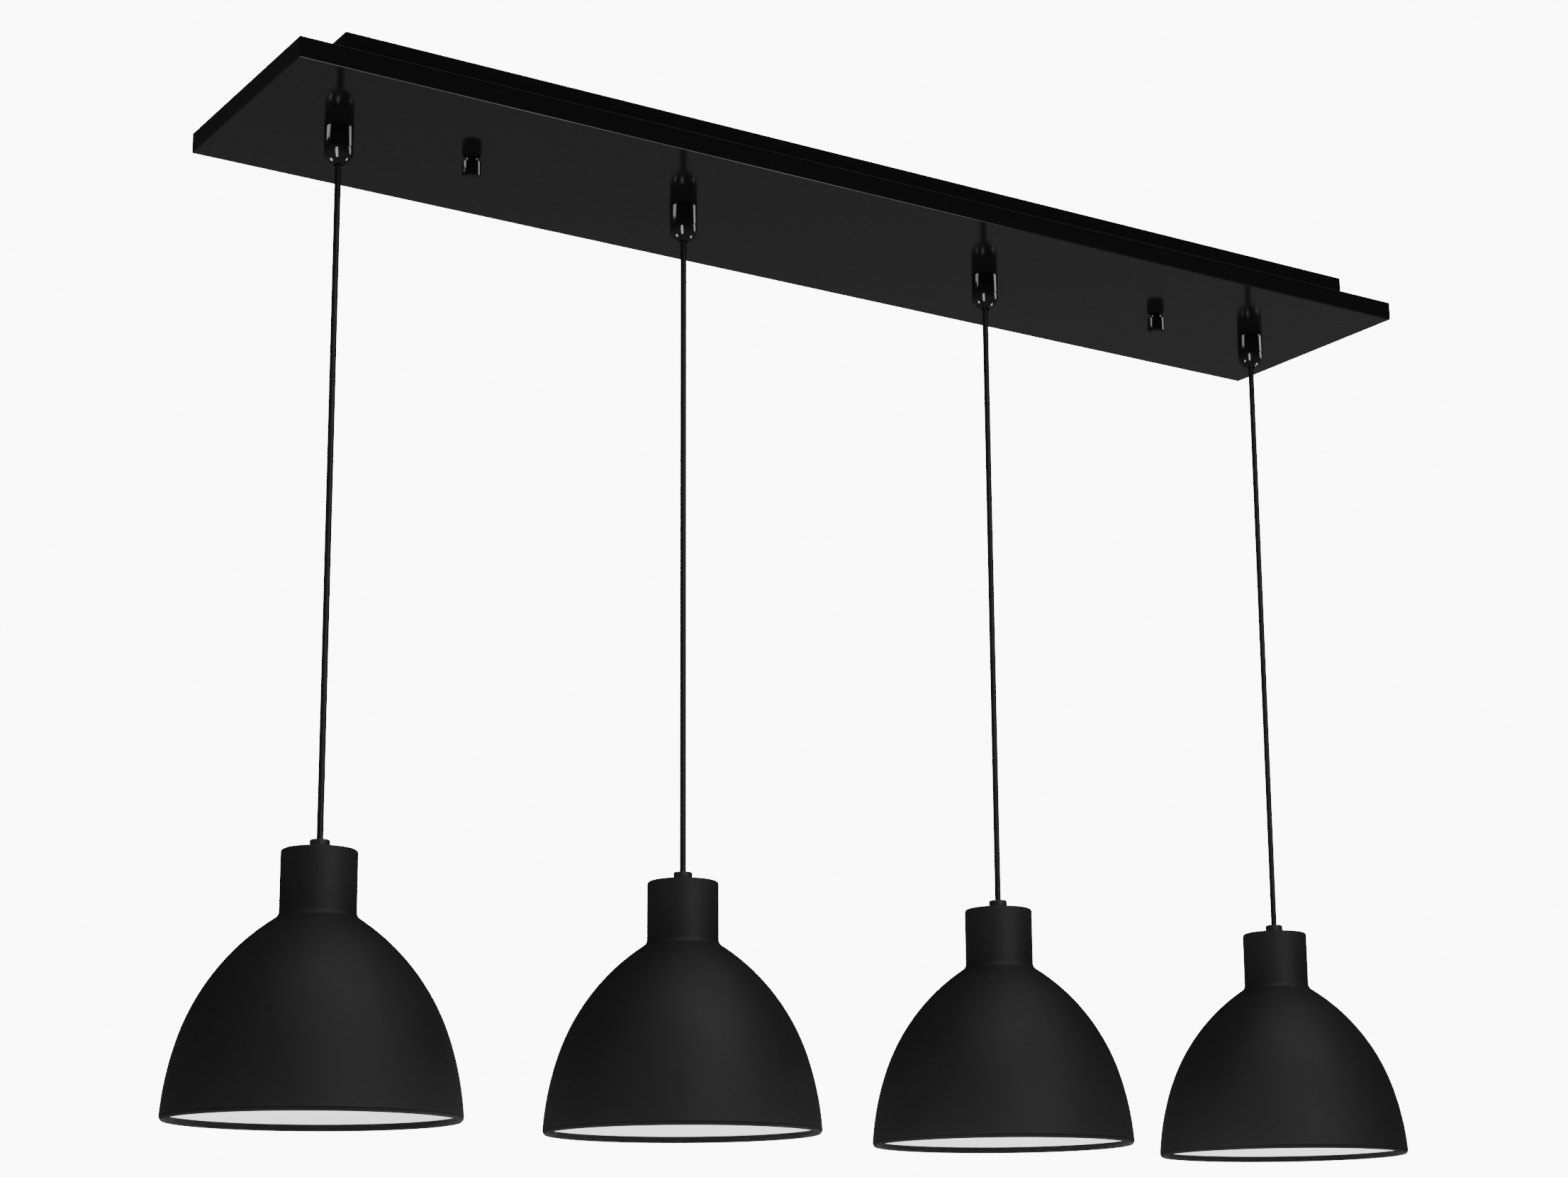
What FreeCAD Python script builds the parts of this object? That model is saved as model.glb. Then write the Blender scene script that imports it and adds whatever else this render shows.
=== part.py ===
import FreeCAD, Part

# A pool table lamp: four spun metal shades hang on round cords in a row from one long ceiling canopy.
# Millimetres, +Z up. The origin is the centre of the ceiling face, on top of the mounting pan, X runs
# along the row of shades and -Y is the side the lamp is seen from. Levels are heights in that frame.
import math
import os

import Sketcher

PENDANTS = 4
BASE_TURNS = 5
# A thread ridge rises from the root to its crest and falls back, at these shares of the pitch.
CREST_START = 0.3
CREST_END = 0.45
RIDGE_END = 0.75
# The bulb's flare meets its globe where the globe's radius runs 0.8 of its length out and 0.6 of it up.
FLARE_OUT = 0.8
FLARE_UP = 0.6
# Lengths, and volumes, under this are taken as nothing.
TINY = 0.01
# A swept tube's volume may differ from its section times its length by this share.
TUBE_SLACK = 0.01
Vector = FreeCAD.Vector

SIZES = {
    # canopy tray and mounting pan
    "tray_long": (1000, "canopy tray, length along the row"),
    "tray_wide": (195, "canopy tray, width"),
    "tray_side": (15, "height of the tray's folded sides"),
    "sheet_wall": (1.2, "thickness of the steel sheet"),
    "tray_bend": (1.0, "outer radius of the tray's folds"),
    "pan_long": (920, "mounting pan, length"),
    "pan_wide": (162, "mounting pan, width"),
    "pan_bend": (1.5, "outer radius of the pan's folds"),
    "canopy_drop": (35, "ceiling to the canopy's lower face"),
    "pendant_pitch": (285, "distance from one pendant to the next"),
    "wire_entry_radius": (11, "hole that the supply wires come in by"),
    "wire_entry_y": (-22, "place of that hole across the row"),
    "box_slot_spacing": (88.9, "distance between the outlet box screws"),
    "box_slot_long": (12, "length of each outlet box slot"),
    "box_slot_radius": (2.5, "half the width of each outlet box slot"),
    "anchor_x": (880, "distance between the ceiling anchors along the row"),
    "anchor_y": (120, "distance between the ceiling anchors across the row"),
    "anchor_radius": (2.75, "radius of each ceiling anchor hole"),
    # studs and the thumb nuts that hold the tray up
    "stud_spacing": (645, "distance between the two canopy studs"),
    "stud_radius": (2.5, "radius of a canopy stud"),
    "stud_reach": (10, "length of a stud below the tray"),
    "weld_radius": (7, "radius of a stud's welded foot"),
    "weld_thick": (1.5, "thickness of a stud's welded foot"),
    "nut_radius": (7, "radius of a thumb nut"),
    "nut_tall": (12, "height of a thumb nut's body"),
    "nut_neck_radius": (4.8, "radius of a thumb nut's neck"),
    "nut_neck_tall": (2.4, "height of a thumb nut's neck"),
    "nut_round": (0.8, "rounding of a thumb nut's ends"),
    "running_gap": (0.05, "radial clearance of a turning fit"),
    "free_gap": (0.3, "clearance between pieces that move apart"),
    # cord grips
    "cord_radius": (2.3, "radius of the pendant cord"),
    "grip_radius": (10.5, "radius of a cord grip"),
    "grip_sleeve_tall": (15.5, "height of the grip's fixed sleeve"),
    "grip_cap_tall": (12.2, "height of the grip's turning cap"),
    "grip_straight": (3, "straight part of the cap before it rounds in"),
    "grip_tip_radius": (5.2, "radius of the cap's flat tip"),
    "grip_round": (12, "radius of the cap's bullet shape"),
    "grip_mouth": (3.6, "radius of the hole at the cap's tip"),
    "spigot_radius": (8, "radius of the sleeve's threaded spigot"),
    "spigot_tall": (6, "height of the sleeve's threaded spigot"),
    "seal_tall": (2.9, "height of the rubber seal round the cord"),
    "seal_radius": (7.2, "radius of the rubber seal"),
    "seal_straight": (0.8, "straight part of the seal above its taper"),
    "seal_tip_radius": (4.6, "radius of the seal's lower end"),
    "nipple_radius": (5, "radius of a threaded nipple"),
    "nipple_bore": (2.9, "bore radius of a threaded nipple"),
    "nipple_above": (9, "length of the grip nipple above the tray floor"),
    "nipple_below": (11, "length of the grip nipple below the tray"),
    "locknut_flats": (17, "width across flats of a grip locknut"),
    "locknut_thick": (3, "thickness of a grip locknut"),
    # wiring in the canopy
    "block_long": (70, "terminal block, length"),
    "block_wide": (28, "terminal block, width"),
    "block_tall": (16, "terminal block, height"),
    "block_y": (48, "terminal block, distance behind the centre line"),
    "block_screw_x": (12, "terminal block screws, distance from its middle"),
    "wire_hole_deep": (8, "depth of a wire hole in the terminal block"),
    "lead_level": (-11.5, "level of the leads in the canopy"),
    "lead_lane": (6, "leads' distance each side of the block's middle line"),
    "lead_swerve": (40, "length along the row in which a lead reaches its lane"),
    "lead_rise_bend": (9, "bend radius where a lead turns out of its grip"),
    "lead_lane_bend": (40, "bend radius where a lead turns into its lane"),
    "screw_radius": (2, "radius of the pan screws' shanks"),
    "screw_head_radius": (3.6, "radius of the pan screws' heads"),
    "screw_head_tall": (2.2, "height of the pan screws' heads"),
    "ground_x": (-60, "ground screw, place along the row"),
    "ground_y": (-40, "ground screw, place across the row"),
    # shades
    "shade_drop": (520, "canopy's lower face to the top of the shade's neck"),
    "shade_radius": (100, "outer radius of the shade"),
    "shade_wall": (1.2, "thickness of the shade"),
    "neck_radius": (26, "outer radius of the shade's neck"),
    "neck_round": (2, "rounding of the neck's top edge"),
    "neck_fillet": (6, "fillet from the neck into the dome"),
    "dome_radius": (154.5, "radius of the dome's upper arc"),
    "dome_offset": (56.8, "distance of that arc's centre beyond the axis"),
    "dome_centre": (175.7, "depth of that arc's centre under the neck's top"),
    "skirt_start": (127, "depth at which the dome's lower arc starts"),
    "skirt_radius": (212, "radius of the dome's lower arc"),
    "skirt_end": (179, "depth at which the lip starts to turn in"),
    "lip_inset": (1.4, "how far the lip turns in"),
    "lip_drop": (3, "height of the lip"),
    "lip_radius": (4, "radius of the lip"),
    # fittings in the shade
    "bushing_radius": (6.9, "radius of the bushing on the neck"),
    "bushing_tall": (7, "height of the bushing on the neck"),
    "bushing_chamfer": (0.9, "chamfer of the bushing's top edge"),
    "bushing_mouth": (3.3, "radius of the bushing's mouth"),
    "tilt_depth": (2.5, "depth of the tilting point under the bushing's top"),
    "shade_nipple_deep": (16, "depth of the shade nipple's lower end"),
    "shade_nut_flats": (14, "width across flats of the shade nut"),
    "shade_nut_thick": (3.5, "thickness of the shade nut"),
    "socket_top": (6, "depth of the lampholder's top"),
    "socket_bottom": (50, "depth of the lampholder's lower edge"),
    "socket_radius": (19, "radius of the lampholder"),
    "socket_hub_radius": (12, "radius of the lampholder's top"),
    "socket_shoulder": (6, "height of the lampholder's sloping shoulder"),
    "socket_cavity_radius": (15.2, "radius of the lampholder's cavity"),
    "socket_cavity_top": (20, "depth of the cavity's ceiling"),
    "shell_bore": (13.3, "inner radius of the screw shell"),
    "shell_wall": (0.6, "thickness of the screw shell"),
    "shell_bottom": (47, "depth of the screw shell's lower edge"),
    "contact_radius": (4, "radius of the centre contact"),
    "contact_tall": (1, "height of the centre contact"),
    # bulb
    "base_tip_radius": (3.5, "radius of the bulb's tip contact"),
    "base_tip_tall": (1, "height of the bulb's tip contact"),
    "base_insulator_radius": (8, "radius at the top of the base's insulator"),
    "base_insulator_level": (2, "tip contact's end to the top of the base's insulator"),
    "base_thread_level": (4, "tip contact's end to the start of the thread"),
    "base_crest": (13, "radius over the base's thread"),
    "base_root": (12.3, "radius under the base's thread"),
    "base_pitch": (3.6, "pitch of the base's thread"),
    "base_tall": (24.4, "height of the bulb's base"),
    "glass_wall": (0.8, "thickness of the bulb's glass"),
    "glass_neck_radius": (13, "radius of the glass where it meets the base"),
    "glass_neck_tall": (3, "straight part of the glass below the base"),
    "glass_flare_tall": (33, "height of the flare between neck and globe"),
    "glass_flare_radius": (55, "radius of that flare"),
    "globe_radius": (30, "radius of the glass globe"),
}

doc = FreeCAD.newDocument("pool_table_lamp")
sheet = doc.addObject("Spreadsheet::Sheet", "Sizes")


class Size:
    """A length: its value and the spreadsheet expression that a property is bound to."""

    def __init__(self, value, text):
        self.value = value
        self.text = text

    def __add__(self, other):
        other = as_size(other)
        return Size(self.value + other.value, f"({self.text} + {other.text})")

    def __sub__(self, other):
        other = as_size(other)
        return Size(self.value - other.value, f"({self.text} - {other.text})")

    def __mul__(self, other):
        other = as_size(other)
        return Size(self.value * other.value, f"({self.text} * {other.text})")

    def __truediv__(self, other):
        other = as_size(other)
        return Size(self.value / other.value, f"({self.text} / {other.text})")

    def __neg__(self):
        return self * -1


def as_size(number):
    return number if isinstance(number, Size) else Size(number, f"({number})")


def leg(long_side, other_side):
    """The third side of a right-angled triangle."""
    squared = long_side * long_side - other_side * other_side
    return Size(math.sqrt(squared.value), f"sqrt({squared.text})")


def fill_sheet():
    """Writes each size to a row of the sheet and returns them as Sizes by name."""
    sizes = {}
    for row, (name, (number, meaning)) in enumerate(SIZES.items(), start=1):
        sheet.set(f"A{row}", meaning)
        sheet.set(f"B{row}", str(number))
        sheet.setAlias(f"B{row}", name)
        sizes[name] = Size(float(number), f"Sizes.{name}")
    doc.recompute()
    return sizes


s = fill_sheet()
parts = []

# Levels that several pieces share.
TRAY_BOTTOM = -s["canopy_drop"]
TRAY_FLOOR = TRAY_BOTTOM + s["sheet_wall"]
PAN_ROOF = -s["sheet_wall"]
SLEEVE_END = TRAY_BOTTOM - s["grip_sleeve_tall"]
SPIGOT_END = SLEEVE_END - s["spigot_tall"]
CAP_TOP = SLEEVE_END - s["free_gap"]
CAP_TIP = CAP_TOP - s["grip_cap_tall"]
SEAL_END = SPIGOT_END - s["seal_tall"]
SWING_POINT = SEAL_END - s["free_gap"] - s["cord_radius"]
NECK_TOP = TRAY_BOTTOM - s["shade_drop"]
TILT_POINT = NECK_TOP + s["bushing_tall"] - s["tilt_depth"]
SHADE_LEAD_TOP = TILT_POINT - s["cord_radius"] - s["free_gap"]


def pendant_x(index):
    return s["pendant_pitch"] * (index - (PENDANTS - 1) / 2)


# ---------------------------------------------------------------- sketches and features


def new_body(label):
    body = doc.addObject("PartDesign::Body", label)
    body.Label = label
    parts.append(body)
    return body


def origin_feature(body, role):
    return next(part for part in body.Origin.OriginFeatures if part.Role == role)


def new_sketch(body, plane, level=None):
    """An empty sketch on one of the body's own origin planes, moved along its normal to a level."""
    sketch = body.newObject("Sketcher::SketchObject", body.Label + "_sketch")
    sketch.AttachmentSupport = (origin_feature(body, plane), [""])
    sketch.MapMode = "FlatFace"
    if level is not None:
        sketch.setExpression("AttachmentOffset.Base.z", level.text)
    return sketch


def hold_point(sketch, line, end, point):
    """Binds a point of the sketch to its place, or to the sketch's axis where that place is 0."""
    for kind, axis, place in (("DistanceX", -2, point[0]), ("DistanceY", -1, point[1])):
        if place.value == 0:
            sketch.addConstraint(Sketcher.Constraint("PointOnObject", line, end, axis))
        else:
            made = sketch.addConstraint(Sketcher.Constraint(kind, line, end, place.value))
            sketch.setExpression(f"Constraints[{made}]", place.text)


def arc_between(start, end, radius, side):
    """An arc from start to end that bulges to the left of the way there (side 1) or the right (-1)."""
    middle = (start + end) / 2
    chord = end - start
    left = Vector(-chord.y, chord.x, 0).normalize()
    centre = middle - left * side * math.sqrt(radius**2 - (chord.Length / 2) ** 2)
    first, last = (end, start) if side > 0 else (start, end)
    angles = [math.atan2(p.y - centre.y, p.x - centre.x) for p in (first, last)]
    return Part.ArcOfCircle(Part.Circle(centre, Vector(0, 0, 1), radius), *angles)


def draw_outline(sketch, corners):
    """A closed outline. A corner is (x, y), or (x, y, radius, side) where an arc leads on from it."""
    corners = [(as_size(c[0]), as_size(c[1]), *c[2:]) for c in corners]
    ends = []
    for corner, after in zip(corners, corners[1:] + corners[:1]):
        start = Vector(corner[0].value, corner[1].value, 0)
        end = Vector(after[0].value, after[1].value, 0)
        if len(corner) == 2:
            line = sketch.addGeometry(Part.LineSegment(start, end))
            ends.append((line, 1, 2))
            continue
        radius, side = corner[2:]
        line = sketch.addGeometry(arc_between(start, end, radius.value, side))
        made = sketch.addConstraint(Sketcher.Constraint("Radius", line, radius.value))
        sketch.setExpression(f"Constraints[{made}]", radius.text)
        ends.append((line, 2, 1) if side > 0 else (line, 1, 2))
    for (line, start, end), (after, after_start, _) in zip(ends, ends[1:] + ends[:1]):
        sketch.addConstraint(Sketcher.Constraint("Coincident", line, end, after, after_start))
    for (line, start, _), corner in zip(ends, corners):
        hold_point(sketch, line, start, corner)


def draw_circle(sketch, x, y, radius):
    x, y = as_size(x), as_size(y)
    circle = Part.Circle(Vector(x.value, y.value, 0), Vector(0, 0, 1), radius.value)
    line = sketch.addGeometry(circle)
    made = sketch.addConstraint(Sketcher.Constraint("Radius", line, radius.value))
    sketch.setExpression(f"Constraints[{made}]", radius.text)
    hold_point(sketch, line, 3, (x, y))


def rectangle(long_side, wide_side):
    x, y = long_side / 2, wide_side / 2
    return [(-x, -y), (x, -y), (x, y), (-x, y)]


def hexagon(flats):
    """The corners of a hexagon, with the x axis through two of them."""
    far = flats / math.sqrt(3)
    return [(far, 0), (far / 2, flats / 2), (-far / 2, flats / 2),
            (-far, 0), (-far / 2, -flats / 2), (far / 2, -flats / 2)]


def turned(body, corners):
    """Revolves an outline of (radius, level) corners about the body's Z axis."""
    sketch = new_sketch(body, "XZ_Plane")
    draw_outline(sketch, corners)
    made = body.newObject("PartDesign::Revolution", body.Label + "_turned")
    made.Profile = sketch
    made.ReferenceAxis = (sketch, ["V_Axis"])
    made.Angle = 360
    return made


def padded(body, sketch, thick):
    made = body.newObject("PartDesign::Pad", body.Label + "_pad")
    made.Profile = sketch
    made.setExpression("Length", thick.text)
    return made


def pocketed(body, sketch, deep, upward=False):
    """Cuts a sketch downward, or upward, and stops if that took nothing away."""
    doc.recompute()
    before = body.Shape.Volume
    made = body.newObject("PartDesign::Pocket", body.Label + "_pocket")
    made.Profile = sketch
    made.Reversed = upward
    made.setExpression("Length", deep.text)
    doc.recompute()
    if body.Shape.Volume >= before - TINY:
        raise ValueError(body.Label + ": a pocket cut nothing")
    return made


def drilled(body, level, deep, holes):
    """Cuts round holes (x, y, radius) upward from a level."""
    sketch = new_sketch(body, "XY_Plane", level)
    for hole in holes:
        draw_circle(sketch, *hole)
    pocketed(body, sketch, deep, upward=True)


def repeated(body, feature, count, spacing):
    """Repeats a feature along X as separate solids of one body, with the row centred on X = 0."""
    row = body.newObject("PartDesign::LinearPattern", body.Label + "_row")
    row.Originals = [feature]
    row.Direction = (origin_feature(body, "X_Axis"), [""])
    row.Occurrences = count
    row.setExpression("Length", (spacing * (count - 1)).text)
    body.AllowCompound = True
    body.Tip = row
    body.setExpression("Placement.Base.x", (spacing * (-(count - 1) / 2)).text)


def rounded(body, base, radius, is_wanted):
    """Fillets the edges of a feature that a test picks."""
    doc.recompute()
    names = [f"Edge{n}" for n, edge in enumerate(base.Shape.Edges, start=1) if is_wanted(edge)]
    fillet = body.newObject("PartDesign::Fillet", body.Label + "_fillet")
    fillet.Base = (base, names)
    fillet.setExpression("Radius", radius.text)


def place(part, x, y=0, z=0):
    for letter, where in zip("xyz", (x, y, z)):
        part.setExpression(f"Placement.Base.{letter}", as_size(where).text)


# ---------------------------------------------------------------- canopy


def folded_box(label, long_side, wide_side, bottom, tall, opens_up, bend):
    """A tray or pan folded from sheet: a flat plate with four sides, open above or below."""
    body = new_body(label)
    outside = new_sketch(body, "XY_Plane", bottom)
    draw_outline(outside, rectangle(long_side, wide_side))
    block = padded(body, outside, tall)
    plate_level = (bottom if opens_up else bottom + tall).value
    half_long = long_side.value / 2
    half_wide = wide_side.value / 2

    def is_fold(edge):
        box = edge.BoundBox
        upright = box.ZLength > tall.value / 2
        on_plate = abs(box.ZMin - plate_level) < TINY and abs(box.ZMax - plate_level) < TINY
        outer = box.XMax > half_long - TINY or box.XMin < TINY - half_long
        outer = outer or box.YMax > half_wide - TINY or box.YMin < TINY - half_wide
        return outer and (upright or on_plate)

    rounded(body, block, bend, is_fold)
    wall = s["sheet_wall"]
    inside = new_sketch(body, "XY_Plane", bottom + tall if opens_up else bottom)
    draw_outline(inside, rectangle(long_side - wall * 2, wide_side - wall * 2))
    pocketed(body, inside, tall - wall, upward=not opens_up)
    return body


def make_canopy_tray():
    tray = folded_box("canopy_tray", s["tray_long"], s["tray_wide"], TRAY_BOTTOM,
                      s["tray_side"], True, s["tray_bend"])
    holes = [(pendant_x(i), 0, s["nipple_radius"]) for i in range(PENDANTS)]
    for side in (-0.5, 0.5):
        holes.append((s["stud_spacing"] * side, 0, s["stud_radius"] + s["free_gap"]))
    drilled(tray, TRAY_BOTTOM, s["sheet_wall"], holes)


def make_mounting_pan():
    pan = folded_box("mounting_pan", s["pan_long"], s["pan_wide"], TRAY_FLOOR,
                     s["canopy_drop"] - s["sheet_wall"], False, s["pan_bend"])
    holes = [(0, s["wire_entry_y"], s["wire_entry_radius"]),
             (s["ground_x"], s["ground_y"], s["screw_radius"])]
    slot_end = s["box_slot_long"] / 2 - s["box_slot_radius"]
    slots = new_sketch(pan, "XY_Plane", PAN_ROOF)
    slot_ends = []
    for side in (-1, 1):
        holes.append((s["block_screw_x"] * side, s["block_y"], s["screw_radius"]))
        middle = s["box_slot_spacing"] * (side / 2)
        half = s["box_slot_radius"]
        draw_outline(slots, [(middle - slot_end, -half), (middle + slot_end, -half),
                             (middle + slot_end, half), (middle - slot_end, half)])
        slot_ends += [(middle - slot_end, 0, half), (middle + slot_end, 0, half)]
        for across in (-1, 1):
            holes.append((s["anchor_x"] * (side / 2), s["anchor_y"] * (across / 2),
                          s["anchor_radius"]))
    drilled(pan, PAN_ROOF, s["sheet_wall"], holes)
    pocketed(pan, slots, s["sheet_wall"], upward=True)
    drilled(pan, PAN_ROOF, s["sheet_wall"], slot_ends)


def make_canopy_studs():
    """Two threaded studs welded under the pan, which reach down through the tray."""
    studs = new_body("canopy_studs")
    foot = PAN_ROOF - s["weld_thick"]
    end = TRAY_BOTTOM - s["stud_reach"]
    stud = turned(studs, [(0, PAN_ROOF), (0, end), (s["stud_radius"], end),
                          (s["stud_radius"], foot), (s["weld_radius"], foot),
                          (s["weld_radius"], PAN_ROOF)])
    repeated(studs, stud, 2, s["stud_spacing"])


def make_thumb_nut(label, side):
    """A closed cylindrical nut with a slim neck against the tray."""
    nut = new_body(label)
    top = TRAY_BOTTOM - s["free_gap"]
    neck = top - s["nut_neck_tall"]
    bottom = neck - s["nut_tall"]
    bore = s["stud_radius"] + s["running_gap"]
    bore_end = TRAY_BOTTOM - s["stud_reach"] - s["free_gap"]
    edge = s["nut_round"]
    outer = s["nut_radius"]
    turned(nut, [(0, bore_end), (0, bottom), (outer - edge, bottom, edge, -1),
                 (outer, bottom + edge), (outer, neck - edge, edge, -1),
                 (outer - edge, neck), (s["nut_neck_radius"], neck),
                 (s["nut_neck_radius"], top), (bore, top), (bore, bore_end)])
    place(nut, s["stud_spacing"] * (side / 2))


# ---------------------------------------------------------------- cord grips


def make_grip_nipples():
    nipples = new_body("grip_nipples")
    top = TRAY_FLOOR + s["nipple_above"]
    bottom = TRAY_BOTTOM - s["nipple_below"]
    bore, outer = s["nipple_bore"], s["nipple_radius"]
    nipple = turned(nipples, [(bore, top), (bore, bottom), (outer, bottom), (outer, top)])
    repeated(nipples, nipple, PENDANTS, s["pendant_pitch"])


def make_grip_locknuts():
    locknuts = new_body("grip_locknuts")
    sketch = new_sketch(locknuts, "XY_Plane", TRAY_FLOOR)
    draw_outline(sketch, hexagon(s["locknut_flats"]))
    draw_circle(sketch, 0, 0, s["nipple_radius"])
    repeated(locknuts, padded(locknuts, sketch, s["locknut_thick"]), PENDANTS, s["pendant_pitch"])


def make_grip_sleeves():
    """The fixed upper half of each grip, screwed onto the nipple, with a spigot for the cap."""
    sleeves = new_body("grip_sleeves")
    nipple_end = TRAY_BOTTOM - s["nipple_below"]
    sleeve = turned(sleeves, [
        (s["nipple_radius"], TRAY_BOTTOM), (s["nipple_radius"], nipple_end),
        (s["nipple_bore"], nipple_end), (s["nipple_bore"], SPIGOT_END),
        (s["spigot_radius"], SPIGOT_END), (s["spigot_radius"], SLEEVE_END),
        (s["grip_radius"], SLEEVE_END), (s["grip_radius"], TRAY_BOTTOM)])
    repeated(sleeves, sleeve, PENDANTS, s["pendant_pitch"])


def make_grip_seals():
    """The tapered rubber rings that the caps squeeze onto the cords."""
    seals = new_body("grip_seals")
    taper_top = SPIGOT_END - s["seal_straight"]
    seal = turned(seals, [
        (s["cord_radius"], SPIGOT_END), (s["cord_radius"], SEAL_END),
        (s["seal_tip_radius"], SEAL_END), (s["seal_radius"], taper_top),
        (s["seal_radius"], SPIGOT_END)])
    repeated(seals, seal, PENDANTS, s["pendant_pitch"])


def make_grip_cap(index):
    """The bullet-shaped lower half of a grip, which turns to squeeze the seal."""
    cap = new_body(f"grip_cap_{index + 1}")
    bore = s["spigot_radius"] + s["running_gap"]
    taper_top = SPIGOT_END - s["seal_straight"] - s["free_gap"]
    seat = SEAL_END - s["free_gap"] * 2
    straight_end = CAP_TOP - s["grip_straight"]
    turned(cap, [
        (bore, CAP_TOP), (bore, taper_top), (s["seal_tip_radius"] + s["free_gap"] * 2, seat),
        (s["grip_mouth"], seat), (s["grip_mouth"], CAP_TIP), (s["grip_tip_radius"], CAP_TIP,
                                                             s["grip_round"], -1),
        (s["grip_radius"], straight_end), (s["grip_radius"], CAP_TOP)])
    place(cap, pendant_x(index))


# ---------------------------------------------------------------- wiring


def rounded_path(points, bend_radii):
    """Straight runs through the points, joined by tangent arcs of the given radii."""
    edges = []
    start = points[0]
    for before, corner, after, radius in zip(points, points[1:], points[2:], bend_radii):
        back = (before - corner).normalize()
        onward = (after - corner).normalize()
        half_turn = (math.pi - back.getAngle(onward)) / 2
        trim = radius * math.tan(half_turn)
        first = corner + back * trim
        last = corner + onward * trim
        to_centre = (back + onward).normalize()
        middle = corner + to_centre * (radius / math.cos(half_turn) - radius)
        edges.append(Part.LineSegment(start, first).toShape())
        edges.append(Part.Arc(first, middle, last).toShape())
        start = last
    edges.append(Part.LineSegment(start, points[-1]).toShape())
    return Part.Wire(edges)


def lead_route(index):
    """A lead's path: up out of its grip, over to its lane and along it into the terminal block."""
    x = pendant_x(index).value
    inward = -math.copysign(1, x)
    outer_lane = 1 if index in (0, PENDANTS - 1) else -1
    lane = s["block_y"].value + outer_lane * s["lead_lane"].value
    level = s["lead_level"].value
    block_end = -inward * (s["block_long"].value / 2 - s["wire_hole_deep"].value)
    return [Vector(x, 0, SEAL_END.value), Vector(x, 0, level),
            Vector(x + inward * s["lead_swerve"].value, lane, level),
            Vector(block_end, lane, level)]


def make_inner_leads():
    """The upper ends of the four cords, from the grips to the terminal block."""
    radius = s["cord_radius"].value
    bends = (s["lead_rise_bend"].value, s["lead_lane_bend"].value)
    leads = []
    for index in range(PENDANTS):
        path = rounded_path(lead_route(index), bends)
        start = path.Vertexes[0].Point
        section = Part.Wire(Part.Circle(start, Vector(0, 0, 1), radius).toShape())
        lead = path.makePipeShell([section], True, True)
        expected = math.pi * radius**2 * path.Length
        if abs(lead.Volume - expected) > TUBE_SLACK * expected:
            raise ValueError("a lead's tube has the wrong volume")
        leads.append(lead)
    made = doc.addObject("Part::Feature", "inner_leads")
    made.Label = "inner_leads"
    made.Shape = Part.makeCompound(leads)
    parts.append(made)


def cylinder(name, radius, tall, x, y, z):
    made = doc.addObject("Part::Cylinder", name)
    made.setExpression("Radius", radius.text)
    made.setExpression("Height", tall.text)
    place(made, x, y, z)
    return made


def make_terminal_block():
    """A block of plastic with four wire holes in its ends and two screw holes through it."""
    block = doc.addObject("Part::Box", "block_body")
    block.setExpression("Length", s["block_long"].text)
    block.setExpression("Width", s["block_wide"].text)
    block.setExpression("Height", s["block_tall"].text)
    bottom = PAN_ROOF - s["block_tall"]
    place(block, -s["block_long"] / 2, s["block_y"] - s["block_wide"] / 2, bottom)
    holes = []
    for side in (-1, 1):
        holes.append(cylinder("block_screw_hole", s["screw_radius"], s["block_tall"],
                              s["block_screw_x"] * side, s["block_y"], bottom))
        inner_end = (s["block_long"] / 2 - s["wire_hole_deep"]) * side
        for lane in (-1, 1):
            hole = cylinder("block_wire_hole", s["cord_radius"] + s["running_gap"],
                            s["wire_hole_deep"], inner_end, s["block_y"] + s["lead_lane"] * lane,
                            s["lead_level"])
            hole.Placement.Rotation = FreeCAD.Rotation(Vector(0, 1, 0), 90 * side)
            holes.append(hole)
    bores = doc.addObject("Part::MultiFuse", "block_bores")
    bores.Shapes = holes
    cut = doc.addObject("Part::Cut", "terminal_block")
    cut.Label = "terminal_block"
    cut.Base = block
    cut.Tool = bores
    parts.append(cut)


def make_pan_screws():
    """Two screws through the terminal block and the ground screw, each threaded into the pan."""
    block_bottom = PAN_ROOF - s["block_tall"]
    seats = [(s["block_screw_x"], s["block_y"], block_bottom),
             (-s["block_screw_x"], s["block_y"], block_bottom),
             (s["ground_x"], s["ground_y"], PAN_ROOF)]
    screws = []
    for x, y, seat in seats:
        screw = doc.addObject("Part::Fuse", "pan_screw")
        screw.Base = cylinder("screw_head", s["screw_head_radius"], s["screw_head_tall"],
                              x, y, seat - s["screw_head_tall"])
        screw.Tool = cylinder("screw_shank", s["screw_radius"], -seat, x, y, seat)
        screws.append(screw)
    group = doc.addObject("Part::Compound", "pan_screws")
    group.Label = "pan_screws"
    group.Links = screws
    parts.append(group)


# ---------------------------------------------------------------- pendants


def make_cord(index):
    """A straight hanging cord, with a ball end at the swinging point and at the tilting point."""
    cord = new_body(f"cord_{index + 1}")
    radius = s["cord_radius"]
    turned(cord, [(0, TILT_POINT - radius, radius, -1), (radius, TILT_POINT),
                  (radius, SWING_POINT, radius, -1), (0, SWING_POINT + radius)])
    place(cord, pendant_x(index))


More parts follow.
